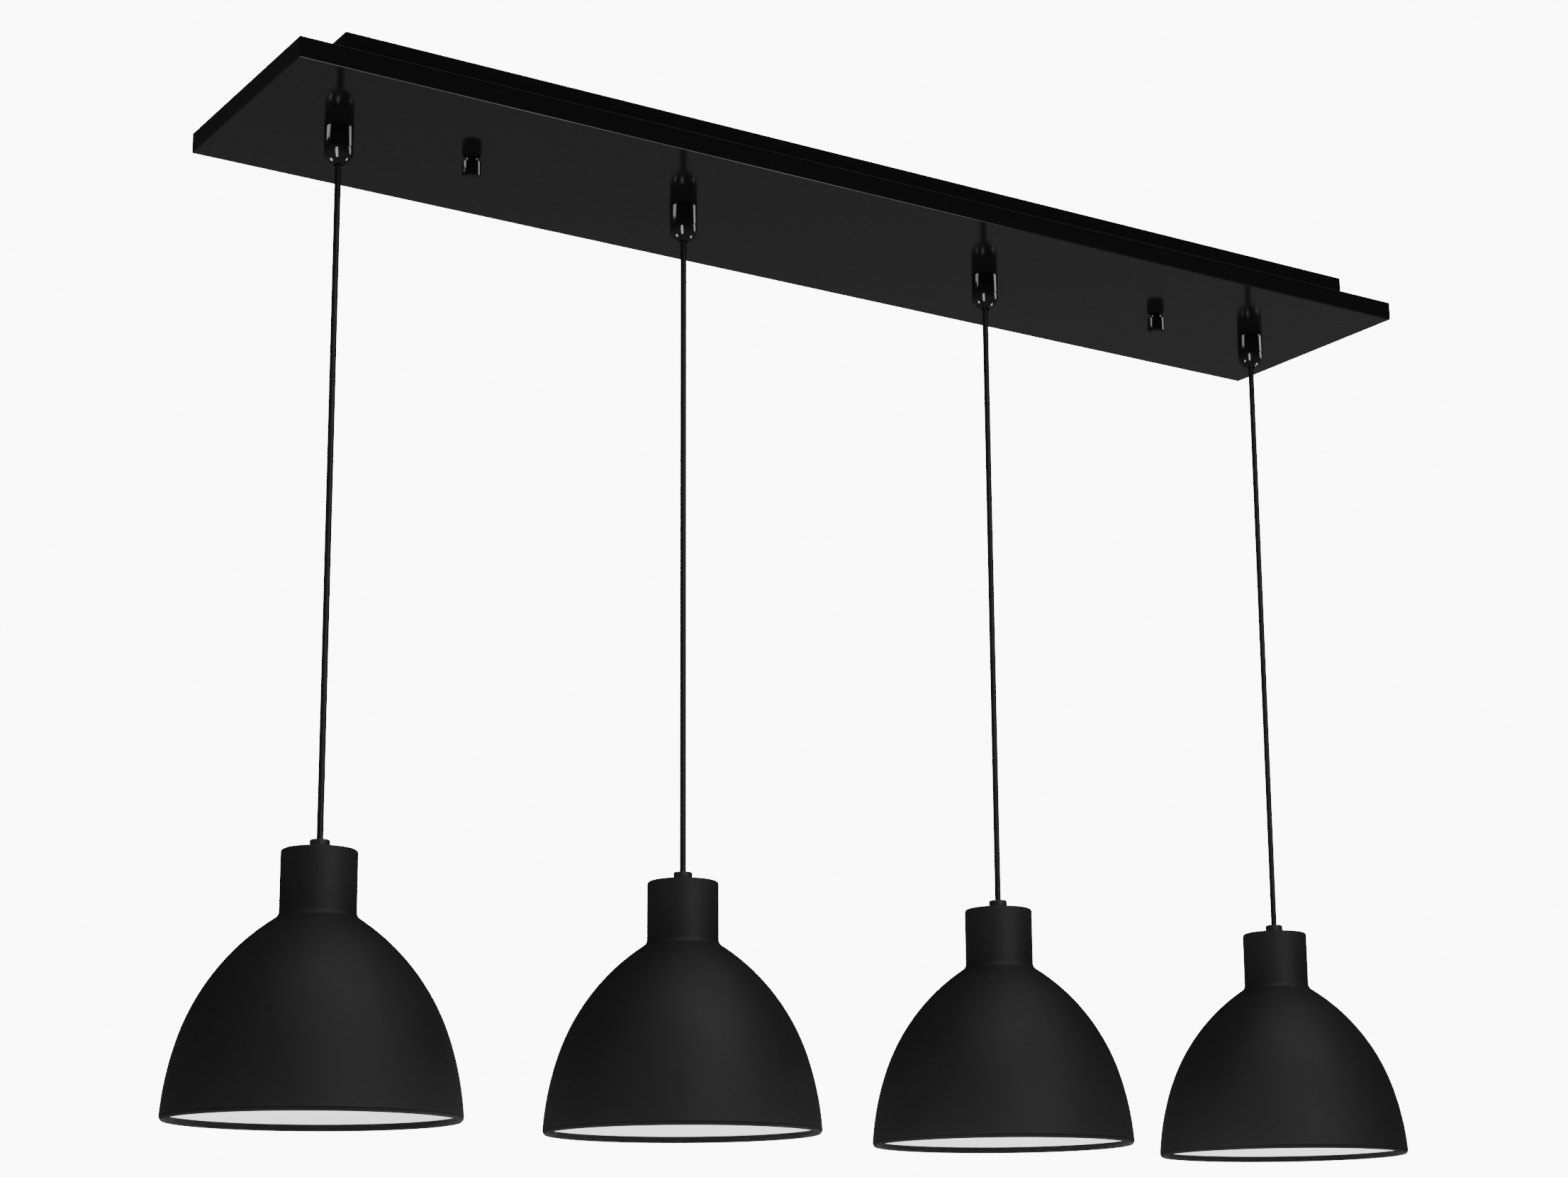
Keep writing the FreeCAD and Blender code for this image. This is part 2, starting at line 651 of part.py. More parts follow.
def shade_outline():
    """The outside of the shade as (radius, height under the neck's top), from the axis outward."""
    fillet = s["neck_fillet"]
    dome = s["dome_radius"]
    # The fillet's centre stands one fillet radius off the neck and off the dome's upper arc.
    fillet_reach = s["neck_radius"] + fillet + s["dome_offset"]
    fillet_rise = leg(dome + fillet, fillet_reach)
    share = dome / (dome + fillet)
    skirt_reach = leg(dome, s["dome_centre"] - s["skirt_start"])
    rim = s["shade_radius"] - s["lip_inset"]
    bottom = -(s["skirt_end"] + s["lip_drop"])
    return [
        (0, bottom), (rim, bottom, s["lip_radius"], -1),
        (s["shade_radius"], -s["skirt_end"], s["skirt_radius"], -1),
        (skirt_reach - s["dome_offset"], -s["skirt_start"], dome, -1),
        (fillet_reach * share - s["dome_offset"], fillet_rise * share - s["dome_centre"],
         fillet, 1),
        (s["neck_radius"], fillet_rise - s["dome_centre"]),
        (s["neck_radius"], -s["neck_round"], s["neck_round"], -1),
        (s["neck_radius"] - s["neck_round"], 0), (0, 0)]


def make_shade(index):
    """A spun metal shade: the turned outside, hollowed to an even wall from its open rim."""
    shade = new_body(f"shade_{index + 1}")
    outside = turned(shade, shade_outline())
    doc.recompute()
    levels = [face.CenterOfMass.z for face in outside.Shape.Faces]
    rim_face = f"Face{levels.index(min(levels)) + 1}"
    hollow = shade.newObject("PartDesign::Thickness", shade.Label + "_hollow")
    hollow.Base = (outside, [rim_face])
    hollow.Reversed = True
    hollow.setExpression("Value", s["shade_wall"].text)
    doc.recompute()
    if hollow.Shape.Volume > outside.Shape.Volume / 2:
        raise ValueError("the shade isn't hollow")
    drilled(shade, -s["shade_wall"], s["shade_wall"], [(0, 0, s["nipple_radius"])])
    place(shade, pendant_x(index), 0, NECK_TOP)


def shade_piece(name, index, corners):
    """A turned piece in a shade, with its levels counted from the top of the shade's neck."""
    body = new_body(f"{name}_{index + 1}")
    turned(body, corners)
    place(body, pendant_x(index), 0, NECK_TOP)


def make_cord_bushing(index):
    """The black bushing that screws onto the nipple above the neck and lets the cord in."""
    top = s["bushing_tall"]
    mouth_end = SHADE_LEAD_TOP - NECK_TOP
    edge = s["bushing_chamfer"]
    outer = s["bushing_radius"]
    shade_piece("cord_bushing", index, [
        (s["nipple_radius"], 0), (outer, 0), (outer, top - edge), (outer - edge, top),
        (s["bushing_mouth"], top), (s["bushing_mouth"], mouth_end),
        (s["nipple_radius"], mouth_end)])


def make_shade_nipple(index):
    top = SHADE_LEAD_TOP - NECK_TOP
    bottom = -s["shade_nipple_deep"]
    bore, outer = s["nipple_bore"], s["nipple_radius"]
    shade_piece("shade_nipple", index, [(bore, bottom), (outer, bottom), (outer, top), (bore, top)])


def make_shade_nut(index):
    nut = new_body(f"shade_nut_{index + 1}")
    sketch = new_sketch(nut, "XY_Plane", -(s["shade_wall"] + s["shade_nut_thick"]))
    draw_outline(sketch, hexagon(s["shade_nut_flats"]))
    draw_circle(sketch, 0, 0, s["nipple_radius"])
    padded(nut, sketch, s["shade_nut_thick"])
    place(nut, pendant_x(index), 0, NECK_TOP)


def make_socket_lead(index):
    """The cord's lower end, fixed in the shade, from the tilting point to the centre contact."""
    top = SHADE_LEAD_TOP - NECK_TOP
    bottom = -s["socket_cavity_top"]
    radius = s["cord_radius"]
    shade_piece("socket_lead", index, [(0, bottom), (radius, bottom), (radius, top), (0, top)])


def make_socket_body(index):
    """The lampholder's insulating body, screwed onto the nipple, open below."""
    top, bottom = -s["socket_top"], -s["socket_bottom"]
    nipple_end = -s["shade_nipple_deep"]
    ceiling = -s["socket_cavity_top"]
    shade_piece("socket_body", index, [
        (s["nipple_radius"], top), (s["nipple_radius"], nipple_end),
        (s["nipple_bore"], nipple_end), (s["nipple_bore"], ceiling),
        (s["socket_cavity_radius"], ceiling), (s["socket_cavity_radius"], bottom),
        (s["socket_radius"], bottom), (s["socket_radius"], top - s["socket_shoulder"]),
        (s["socket_hub_radius"], top)])


def make_socket_shell(index):
    """The brass screw shell, with a flange that seats it in the lampholder's cavity."""
    top, bottom = -s["socket_cavity_top"], -s["shell_bottom"]
    bore = s["shell_bore"]
    wall = s["shell_wall"]
    shade_piece("socket_shell", index, [
        (bore, bottom), (bore + wall, bottom), (bore + wall, top - wall),
        (s["socket_cavity_radius"], top - wall), (s["socket_cavity_radius"], top), (bore, top)])


def make_socket_contact(index):
    """The centre contact at the cavity's ceiling, a low dished disc."""
    top = -s["socket_cavity_top"]
    bottom = top - s["contact_tall"]
    radius = s["contact_radius"]
    shade_piece("socket_contact", index, [
        (0, bottom), (radius / 2, bottom), (radius, top - s["contact_tall"] / 2), (radius, top),
        (0, top)])


def base_levels():
    """The bulb base's upper and lower levels, under the neck's top."""
    top = -(s["socket_cavity_top"] + s["contact_tall"] + s["free_gap"])
    return top, top - s["base_tall"]


def make_bulb_base(index):
    """The bulb's screw base: tip contact, insulator and a ridged thread."""
    top, bottom = base_levels()
    tip = s["base_tip_radius"]
    root, crest = s["base_root"], s["base_crest"]
    pitch = s["base_pitch"]
    thread_top = top - s["base_thread_level"]
    corners = [(0, bottom), (root, bottom)]
    for turn in range(BASE_TURNS, 0, -1):
        lower = thread_top - pitch * turn
        corners += [(root, lower), (crest, lower + pitch * CREST_START),
                    (crest, lower + pitch * CREST_END), (root, lower + pitch * RIDGE_END)]
    corners += [(root, thread_top), (s["base_insulator_radius"], top - s["base_insulator_level"]),
                (tip, top - s["base_tip_tall"]), (tip, top), (0, top)]
    shade_piece("bulb_base", index, corners)


def make_bulb_glass(index):
    """The bulb's thin glass: a short neck, a flare and a round globe."""
    _, top = base_levels()
    neck = s["glass_neck_radius"]
    wall = s["glass_wall"]
    globe = s["globe_radius"]
    flare_top = top - s["glass_neck_tall"]
    flare_end = flare_top - s["glass_flare_tall"]
    centre = flare_end - globe * FLARE_UP
    inner = globe - wall
    flare = s["glass_flare_radius"]
    shade_piece("bulb_glass", index, [
        (neck - wall, top), (neck - wall, flare_top, flare + wall, -1),
        (inner * FLARE_OUT, centre + inner * FLARE_UP, inner, 1), (0, centre - inner),
        (0, centre - globe, globe, -1), (globe * FLARE_OUT, flare_end, flare, 1),
        (neck, flare_top), (neck, top)])


def make_pendant(index):
    make_cord(index)
    make_shade(index)
    make_cord_bushing(index)
    make_shade_nipple(index)
    make_shade_nut(index)
    make_socket_lead(index)
    make_socket_body(index)
    make_socket_shell(index)
    make_socket_contact(index)
    make_bulb_base(index)
    make_bulb_glass(index)


# ---------------------------------------------------------------- build, check and write


def check_model():
    """Stops if any object failed or any sub-part has no valid shape."""
    for item in doc.Objects:
        if "Invalid" in item.State or "Error" in item.State:
            raise ValueError(f"{item.Label} failed: {item.State}")
    for part in parts:
        if part.Shape.isNull() or not part.Shape.isValid():
            raise ValueError(f"{part.Label} has no valid shape")
        if not part.Shape.Solids:
            raise ValueError(f"{part.Label} has no solid")


def write_parts():
    os.makedirs("parts", exist_ok=True)
    for part in parts:
        part.Shape.exportStep(f"parts/{part.Label}.step")


make_canopy_tray()
make_mounting_pan()
make_canopy_studs()
make_thumb_nut("thumb_nut_left", -1)
make_thumb_nut("thumb_nut_right", 1)
make_grip_nipples()
make_grip_locknuts()
make_grip_sleeves()
make_grip_seals()
make_inner_leads()
make_terminal_block()
make_pan_screws()
for pendant in range(PENDANTS):
    make_grip_cap(pendant)
    make_pendant(pendant)
doc.recompute()
check_model()
write_parts()
print(len(parts), "sub-parts written")
print("swinging points at", round(SWING_POINT.value, 2))
print("tilting points at", round(TILT_POINT.value, 2))
print("bend radii of each inner lead:", s["lead_rise_bend"].value, s["lead_lane_bend"].value)
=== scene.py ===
import math

import bmesh
import bpy
from mathutils import Euler, Matrix, Vector


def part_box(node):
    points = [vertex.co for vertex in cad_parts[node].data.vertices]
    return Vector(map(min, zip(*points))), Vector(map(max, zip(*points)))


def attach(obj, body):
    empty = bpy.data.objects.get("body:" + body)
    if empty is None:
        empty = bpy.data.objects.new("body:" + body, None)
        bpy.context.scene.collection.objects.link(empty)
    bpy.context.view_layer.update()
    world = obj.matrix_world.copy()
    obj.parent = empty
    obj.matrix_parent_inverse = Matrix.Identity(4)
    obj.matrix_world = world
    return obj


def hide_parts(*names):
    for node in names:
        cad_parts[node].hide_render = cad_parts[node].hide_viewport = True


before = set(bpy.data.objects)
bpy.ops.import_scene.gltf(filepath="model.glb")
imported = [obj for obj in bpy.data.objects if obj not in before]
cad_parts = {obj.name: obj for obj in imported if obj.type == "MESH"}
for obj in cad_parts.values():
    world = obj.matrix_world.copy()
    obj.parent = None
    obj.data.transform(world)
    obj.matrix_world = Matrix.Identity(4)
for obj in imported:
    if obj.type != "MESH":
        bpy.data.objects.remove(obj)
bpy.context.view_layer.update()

PENDANTS = (1, 2, 3, 4)
MM = 0.001


def middle_of(node):
    """The middle of a node's box."""
    low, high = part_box(node)
    return (low + high) / 2


AXES = {number: middle_of(f"shade_{number}").x for number in PENDANTS}
NECK_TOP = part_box("shade_1")[1].z
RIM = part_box("shade_1")[0].z

# ---------------------------------------------------------------- camera

CAMERA_PLACE = (-1.217, -1.814, -0.875)
CAMERA_YAW = 32.7       # degrees from +Y toward +X
CAMERA_PITCH = 12.03    # degrees above the horizon
CAMERA_ROLL = 0.38      # degrees the camera leans to its right
CAMERA_LENS = 67.2      # millimetres, on a sensor 36 mm wide
CAMERA_SENSOR = 36
CAMERA_SHIFT = (-0.0013, 0.076)
CAMERA_REACH = 100      # how far the camera sees


def make_camera():
    """Low in front of the row's left end, looking along the row and up, with the frame raised."""
    data = bpy.data.cameras.new("camera")
    data.lens = CAMERA_LENS
    data.sensor_width = CAMERA_SENSOR
    data.shift_x, data.shift_y = CAMERA_SHIFT
    data.clip_end = CAMERA_REACH
    camera = bpy.data.objects.new("camera", data)
    bpy.context.scene.collection.objects.link(camera)
    camera.location = CAMERA_PLACE
    aim = Euler((math.radians(90 + CAMERA_PITCH), 0, math.radians(-CAMERA_YAW))).to_matrix()
    lean = Matrix.Rotation(math.radians(-CAMERA_ROLL), 3, "Z")
    camera.rotation_euler = (aim @ lean).to_euler()
    bpy.context.scene.camera = camera


# ---------------------------------------------------------------- cords

CORD_RADIUS = 0.0023
CORD_POINTS = (-0.0597, -0.0873, -0.5252, -0.5528)      # heights down a cord, which hangs straight


def make_cord(number, material):
    """A round cord that hangs straight out of its grip, down into the bushing on its shade."""
    curve = bpy.data.curves.new(f"pendant_cord_{number}", "CURVE")
    curve.dimensions = "3D"
    curve.bevel_depth = CORD_RADIUS
    curve.bevel_resolution = 8
    curve.use_fill_caps = True
    spline = curve.splines.new("NURBS")
    spline.points.add(len(CORD_POINTS) - 1)
    for point, height in zip(spline.points, CORD_POINTS):
        point.co = (AXES[number], 0, height, 1)
    spline.order_u = 3
    spline.use_endpoint_u = True
    spline.resolution_u = 24
    curve.materials.append(material)
    cord = bpy.data.objects.new(curve.name, curve)
    bpy.context.scene.collection.objects.link(cord)
    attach(cord, f"cord_{number}")
    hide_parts(f"cord_{number}")


# ---------------------------------------------------------------- materials


def new_material(name, colour, roughness, metallic=0.0):
    """A material and its shader, with an even colour and gloss to start from."""
    material = bpy.data.materials.new(name)
    material.use_nodes = True
    shader = material.node_tree.nodes["Principled BSDF"]
    shader.inputs["Base Color"].default_value = (*colour, 1)
    shader.inputs["Roughness"].default_value = roughness
    shader.inputs["Metallic"].default_value = metallic
    return material, shader


def add_node(material, kind, **settings):
    """A new node of a kind, with some of its properties set."""
    node = material.node_tree.nodes.new(kind)
    for name, value in settings.items():
        setattr(node, name, value)
    return node


def join(material, source, target):
    """Links one socket to another."""
    material.node_tree.links.new(source, target)


def grain(material, scale, detail, stretch=(1, 1, 1)):
    """A noise over the object's own coordinates, as a 0 to 1 value. A small stretch draws it out."""
    place = add_node(material, "ShaderNodeTexCoord")
    mapping = add_node(material, "ShaderNodeMapping")
    mapping.inputs["Scale"].default_value = stretch
    noise = add_node(material, "ShaderNodeTexNoise")
    noise.inputs["Scale"].default_value = scale
    noise.inputs["Detail"].default_value = detail
    join(material, place.outputs["Object"], mapping.inputs["Vector"])
    join(material, mapping.outputs["Vector"], noise.inputs["Vector"])
    return noise.outputs["Fac"]


def to_range(material, value, low, high, source_low=0.3, source_high=0.7):
    """A value spread over a new range."""
    spread = add_node(material, "ShaderNodeMapRange")
    spread.inputs["From Min"].default_value = source_low
    spread.inputs["From Max"].default_value = source_high
    spread.inputs["To Min"].default_value = low
    spread.inputs["To Max"].default_value = high
    join(material, value, spread.inputs["Value"])
    return spread.outputs["Result"]


def set_gloss(material, shader, value, low, high):
    """Roughness that goes from low to high with a value."""
    join(material, to_range(material, value, low, high), shader.inputs["Roughness"])


def add_bump(material, shader, height, distance, strength):
    """Raises the surface by a height, on top of any bump that is there already."""
    bump = add_node(material, "ShaderNodeBump")
    bump.inputs["Distance"].default_value = distance
    bump.inputs["Strength"].default_value = strength
    join(material, height, bump.inputs["Height"])
    normal = shader.inputs["Normal"]
    if normal.links:
        join(material, normal.links[0].from_socket, bump.inputs["Normal"])
    join(material, bump.outputs["Normal"], normal)


def blend_colours(material, shader, factor, first, second):
    """Colours the surface from the first colour to the second as a factor goes from 0 to 1."""
    mix = add_node(material, "ShaderNodeMix", data_type="RGBA")
    mix.inputs["A"].default_value = (*first, 1)
    mix.inputs["B"].default_value = (*second, 1)
    join(material, factor, mix.inputs["Factor"])
    join(material, mix.outputs["Result"], shader.inputs["Base Color"])


def worn_and_lit_edges(material, radius):
    """A value that is 1 on a sharp edge and 0 away from it."""
    bevel = add_node(material, "ShaderNodeBevel", samples=6)
    bevel.inputs["Radius"].default_value = radius
    here = add_node(material, "ShaderNodeNewGeometry")
    dot = add_node(material, "ShaderNodeVectorMath", operation="DOT_PRODUCT")
    join(material, bevel.outputs["Normal"], dot.inputs[0])
    join(material, here.outputs["Normal"], dot.inputs[1])
    return to_range(material, dot.outputs["Value"], low=1.0, high=0.0,
                    source_low=0.80, source_high=0.98)


def make_canopy_black():
    """Satin black powder coat: an orange peel, softly uneven gloss, and folds coloured lighter, partly
    as wear and partly as a painted highlight line.
    """
    material, shader = new_material("canopy_powder_coat", (0.0025, 0.0025, 0.0026), 0.12)
    set_gloss(material, shader, grain(material, scale=9, detail=3), low=0.10, high=0.15)
    # The folds are coloured lighter, partly as wear and partly as a painted highlight line along each
    # fold.
    blend_colours(material, shader, worn_and_lit_edges(material, radius=1.2 * MM),
                  first=(0.0025, 0.0025, 0.0026), second=(0.02, 0.02, 0.02))
    orange_peel = grain(material, scale=420, detail=2)
    add_bump(material, shader, orange_peel, distance=0.02 * MM, strength=0.5)
    return material


def make_shade_black():
    """Matt black powder coat: a fine even texture with a faint cloudiness in its sheen."""
    material, shader = new_material("shade_powder_coat", (0.0045, 0.0045, 0.0045), 0.6)
    set_gloss(material, shader, grain(material, scale=14, detail=3), low=0.55, high=0.65)
    blend_colours(material, shader, grain(material, scale=900, detail=2),
                  first=(0.0035, 0.0035, 0.0035), second=(0.0055, 0.0055, 0.0055))
    texture = grain(material, scale=1400, detail=2)
    add_bump(material, shader, texture, distance=0.03 * MM, strength=0.6)
    return material


def make_lip_black():
    """The same coat where it thins out and dulls round the spun edge."""
    material, shader = new_material("shade_lip_coat", (0.003, 0.003, 0.003), 0.75)
    shader.inputs["Specular IOR Level"].default_value = 0.15
    set_gloss(material, shader, grain(material, scale=40, detail=3), low=0.7, high=0.8)
    blend_colours(material, shader, grain(material, scale=300, detail=3),
                  first=(0.0025, 0.0025, 0.0025), second=(0.0045, 0.0045, 0.0045))
    texture = grain(material, scale=1400, detail=2)
    add_bump(material, shader, texture, distance=0.03 * MM, strength=0.6)
    return material


def make_shade_white():
    """Matt white enamel inside a shade, over the faint rings left by spinning the metal."""
    material, shader = new_material("shade_inside_white", (0.86, 0.86, 0.85), 0.42)
    set_gloss(material, shader, grain(material, scale=20, detail=3), low=0.38, high=0.48)
    blend_colours(material, shader, grain(material, scale=6, detail=2),
                  first=(0.87, 0.87, 0.865), second=(0.84, 0.84, 0.83))
    rings = grain(material, scale=300, detail=1, stretch=(0.02, 0.02, 1))
    add_bump(material, shader, rings, distance=0.02 * MM, strength=0.3)
    texture = grain(material, scale=900, detail=2)
    add_bump(material, shader, texture, distance=0.02 * MM, strength=0.4)
    return material


def make_gloss_black():
    """Gloss black enamel with a very slight ripple and thin smudges that dull it."""
    material, shader = new_material("gloss_enamel", (0.002, 0.002, 0.0022), 0.1)
    set_gloss(material, shader, grain(material, scale=120, detail=3), low=0.06, high=0.13)
    blend_colours(material, shader, grain(material, scale=200, detail=2),
                  first=(0.002, 0.002, 0.0022), second=(0.004, 0.004, 0.004))
    ripple = grain(material, scale=90, detail=1)
    add_bump(material, shader, ripple, distance=0.01 * MM, strength=0.2)
    return material


def make_cord_black():
    """Smooth black cord jacket with fine drawing lines along it."""
    material, shader = new_material("cord_jacket", (0.003, 0.003, 0.003), 0.4)
    set_gloss(material, shader, grain(material, scale=60, detail=3), low=0.34, high=0.48)
    blend_colours(material, shader, grain(material, scale=700, detail=2),
                  first=(0.0025, 0.0025, 0.0025), second=(0.005, 0.005, 0.005))
    drawing_lines = grain(material, scale=2200, detail=2, stretch=(1, 1, 0.02))
    add_bump(material, shader, drawing_lines, distance=0.03 * MM, strength=0.5)
    return material


def make_moulded(name, colour, light_colour, roughness):
    """Moulded plastic or rubber: a fine spark texture and a slight unevenness in colour."""
    material, shader = new_material(name, colour, roughness)
    set_gloss(material, shader, grain(material, scale=200, detail=3),
              low=roughness - 0.06, high=roughness + 0.06)
    blend_colours(material, shader, grain(material, scale=500, detail=3), colour, light_colour)
    spark_texture = grain(material, scale=2600, detail=2)
    add_bump(material, shader, spark_texture, distance=0.02 * MM, strength=0.5)
    return material


def make_metal(name, colour, dark_colour, roughness):
    """Bare metal: fine tool lines, uneven gloss and darker tarnished patches."""
    material, shader = new_material(name, colour, roughness, 1.0)
    set_gloss(material, shader, grain(material, scale=260, detail=4),
              low=roughness - 0.08, high=roughness + 0.1)
    blend_colours(material, shader, grain(material, scale=140, detail=5), dark_colour, colour)
    tool_lines = grain(material, scale=1800, detail=2, stretch=(1, 1, 0.05))
    add_bump(material, shader, tool_lines, distance=0.02 * MM, strength=0.4)
    return material


def make_bulb_glass():
    """White frosted glass with a smooth clear coat over it."""
    material, shader = new_material("frosted_glass", (0.93, 0.93, 0.92), 0.3)
    shader.inputs["Transmission Weight"].default_value = 0.25
    shader.inputs["Coat Weight"].default_value = 0.6
    shader.inputs["Coat Roughness"].default_value = 0.06
    set_gloss(material, shader, grain(material, scale=90, detail=3), low=0.26, high=0.36)
    blend_colours(material, shader, grain(material, scale=60, detail=3),
                  first=(0.93, 0.93, 0.92), second=(0.90, 0.90, 0.88))
    frosting = grain(material, scale=1500, detail=2)
    add_bump(material, shader, frosting, distance=0.01 * MM, strength=0.3)
    return material


def make_pale_floor():
    """Pale matt studio paper, very slightly cloudy."""
    material, shader = new_material("pale_floor", (0.8, 0.8, 0.79), 0.9)
    shader.inputs["Specular IOR Level"].default_value = 0.1
    blend_colours(material, shader, grain(material, scale=2, detail=3),
                  first=(0.80, 0.80, 0.79), second=(0.78, 0.78, 0.77))
    return material


# ---------------------------------------------------------------- turned pieces

SHARP_ANGLE = 32        # degrees between faces beyond which an edge is shaded sharp


def arc(centre, radius, start, end, steps):
    """Points (radius, height) on an arc, from one angle to another in degrees, both ends included."""
    points = []
    for step in range(steps + 1):
        angle = math.radians(start + (end - start) * step / steps)
        points.append((centre[0] + radius * math.cos(angle), centre[1] + radius * math.sin(angle)))
    return points


def lathe(name, profile, centres, segments, materials, material_of=None, top=0.0):
    """Sweeps a closed profile of (radius, height) points round the upright axis at each centre."""
    shape = bmesh.new()
    for centre in centres:
        rings = []
        for radius, height in profile:
            ring = []
            for segment in range(segments if radius > 0 else 1):
                turn = 2 * math.pi * segment / segments
                ring.append(shape.verts.new((centre + radius * math.cos(turn),
                                             radius * math.sin(turn), top + height)))
            rings.append(ring)
        for index, (ring, after) in enumerate(zip(rings, rings[1:] + rings[:1])):
            if len(ring) == 1 and len(after) == 1:
                continue
            for segment in range(segments):
                onward = (segment + 1) % segments
                corners = [ring[segment % len(ring)], ring[onward % len(ring)],
                           after[onward % len(after)], after[segment % len(after)]]
                face = shape.faces.new(list(dict.fromkeys(corners)))
                face.smooth = True
                face.material_index = material_of(index) if material_of else 0
    bmesh.ops.recalc_face_normals(shape, faces=shape.faces)
    mesh = bpy.data.meshes.new(name)
    shape.to_mesh(mesh)
    shape.free()
    mesh.set_sharp_from_angle(angle=math.radians(SHARP_ANGLE))
    for material in materials:
        mesh.materials.append(material)
    piece = bpy.data.objects.new(name, mesh)
    bpy.context.scene.collection.objects.link(piece)
    return piece


def stand_in(piece, body, node):
    """Puts a detailed piece on its body in place of its CAD node."""
    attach(piece, body)
    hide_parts(node)


# ---------------------------------------------------------------- shades

SHADE_RADIUS = (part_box("shade_1")[1].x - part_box("shade_1")[0].x) / 2
SHADE_WALL = 1.2 * MM
NECK_RADIUS = 26 * MM
NECK_ROUND = 2 * MM
NECK_FILLET = 6 * MM
NECK_HOLE = 5 * MM
DOME_RADIUS = 154.5 * MM
DOME_CENTRE = (-56.8 * MM, -175.7 * MM)     # radius and height, measured from the neck's top
SKIRT_RADIUS = 212 * MM
SKIRT_START = -127 * MM
SKIRT_END = -179 * MM
LIP_RADIUS = 4 * MM
LIP_INSET = 1.4 * MM
BLACK_RISE = 2.0 * MM       # how far above the lip the black paint laps onto the shade's inside
OUTSIDE_COAT, INSIDE_COAT, LIP_COAT = range(3)      # places in the list of a shade's materials


def shared_centre(start, end, radius):
    """The centre of the arc of a radius from start to end that bulges away from the axis."""
    start, end = Vector(start), Vector(end)
    half = (end - start) / 2
    inward = Vector((half.y, -half.x)).normalized()
    if inward.x > 0:
        inward = -inward
    return start + half + inward * math.sqrt(radius ** 2 - half.length ** 2)


def angle_at(centre, point):
    """The direction in degrees from a centre to a point."""
    return math.degrees(math.atan2(point[1] - centre[1], point[0] - centre[0]))


def shade_arcs():
    """The shade's outer arcs from the neck down, as (centre, radius, start angle, end angle, steps).

    A radius is negative where the arc is hollow, so that the wall's inside lies outside it."""
    fillet_reach = NECK_RADIUS + NECK_FILLET
    dome_reach = DOME_RADIUS + NECK_FILLET
    rise = math.sqrt(dome_reach ** 2 - (fillet_reach - DOME_CENTRE[0]) ** 2)
    fillet = (fillet_reach, DOME_CENTRE[1] + rise)
    fillet_end = angle_at(DOME_CENTRE, fillet)
    skirt_reach = math.sqrt(DOME_RADIUS ** 2 - (SKIRT_START - DOME_CENTRE[1]) ** 2)
    skirt_top = (DOME_CENTRE[0] + skirt_reach, SKIRT_START)
    skirt_bottom = (SHADE_RADIUS, SKIRT_END)
    rim = (SHADE_RADIUS - LIP_INSET, RIM - NECK_TOP)
    skirt = shared_centre(skirt_top, skirt_bottom, SKIRT_RADIUS)
    lip = shared_centre(skirt_bottom, rim, LIP_RADIUS)
    edge = (NECK_RADIUS - NECK_ROUND, -NECK_ROUND)
    paint_line = math.degrees(math.asin((SKIRT_END + BLACK_RISE - skirt.y) / SKIRT_RADIUS))
    return [
        (edge, NECK_ROUND, 90, 0, 6),
        (fillet, -NECK_FILLET, 180, 180 + fillet_end, 8),
        (DOME_CENTRE, DOME_RADIUS, fillet_end, angle_at(DOME_CENTRE, skirt_top), 26),
        (skirt, SKIRT_RADIUS, angle_at(skirt, skirt_top), paint_line, 14),
        (skirt, SKIRT_RADIUS, paint_line, angle_at(skirt, skirt_bottom), 1),
        (lip, LIP_RADIUS, angle_at(lip, skirt_bottom), angle_at(lip, rim), 6)]


def trace(arcs, inset):
    """The points of arcs that run on from one another, moved in by an inset, each point once."""
    points = []
    for centre, radius, start, end, steps in arcs:
        made = arc(centre, abs(radius - inset), start, end, steps)
        points += made[1:] if points else made
    return points


def make_shade(number, coats):
    """The wall's section, down the outside, round the lip and up the inside, turned on its axis."""
    outside = [(NECK_HOLE, 0)] + trace(shade_arcs(), 0)
    inside = [(NECK_HOLE, -SHADE_WALL)] + trace(shade_arcs(), SHADE_WALL)
    profile = outside + inside[::-1]

    def coat_of(index):
        """The coat of the ring of faces that starts at a point of the profile."""
        if profile[index][1] < SKIRT_END + BLACK_RISE / 2:
            return LIP_COAT
        return OUTSIDE_COAT if index < len(outside) else INSIDE_COAT

    shade = lathe(f"spun_shade_{number}", profile, [AXES[number]], 192, coats, coat_of, NECK_TOP)
    stand_in(shade, f"shade_{number}", f"shade_{number}")


# ---------------------------------------------------------------- turned fittings


def rounded_corner(radius, height, size, quarter):
    """Points round an outer corner: quarter 0 is the top right one, 1 the bottom right one."""
    if quarter == 0:
        return arc((radius - size, height - size), size, 90, 0, 5)
    return arc((radius - size, height + size), size, 0, -90, 5)


def make_bushing(number, material):
    """The bushing on the neck: a rounded top edge and a flared mouth for the cord."""
    low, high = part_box(f"cord_bushing_{number}")
    outer = (high.x - low.x) / 2
    tall = high.z - low.z
    mouth = 3.3 * MM
    bore = NECK_HOLE
    flare = 0.6 * MM
    bore_top = tall - 5.1 * MM
    bottom_edge = 0.2 * MM
    top_edge = 0.9 * MM
    profile = [(bore, 0), (outer - bottom_edge, 0), (outer, bottom_edge)]
    profile += rounded_corner(outer, tall, top_edge, 0)[::-1]
    profile += [(mouth + flare, tall), (mouth, tall - flare), (mouth, bore_top), (bore, bore_top)]
    piece = lathe(f"bushing_{number}", profile, [AXES[number]], 72, [material], top=low.z)
    stand_in(piece, f"shade_{number}", f"cord_bushing_{number}")


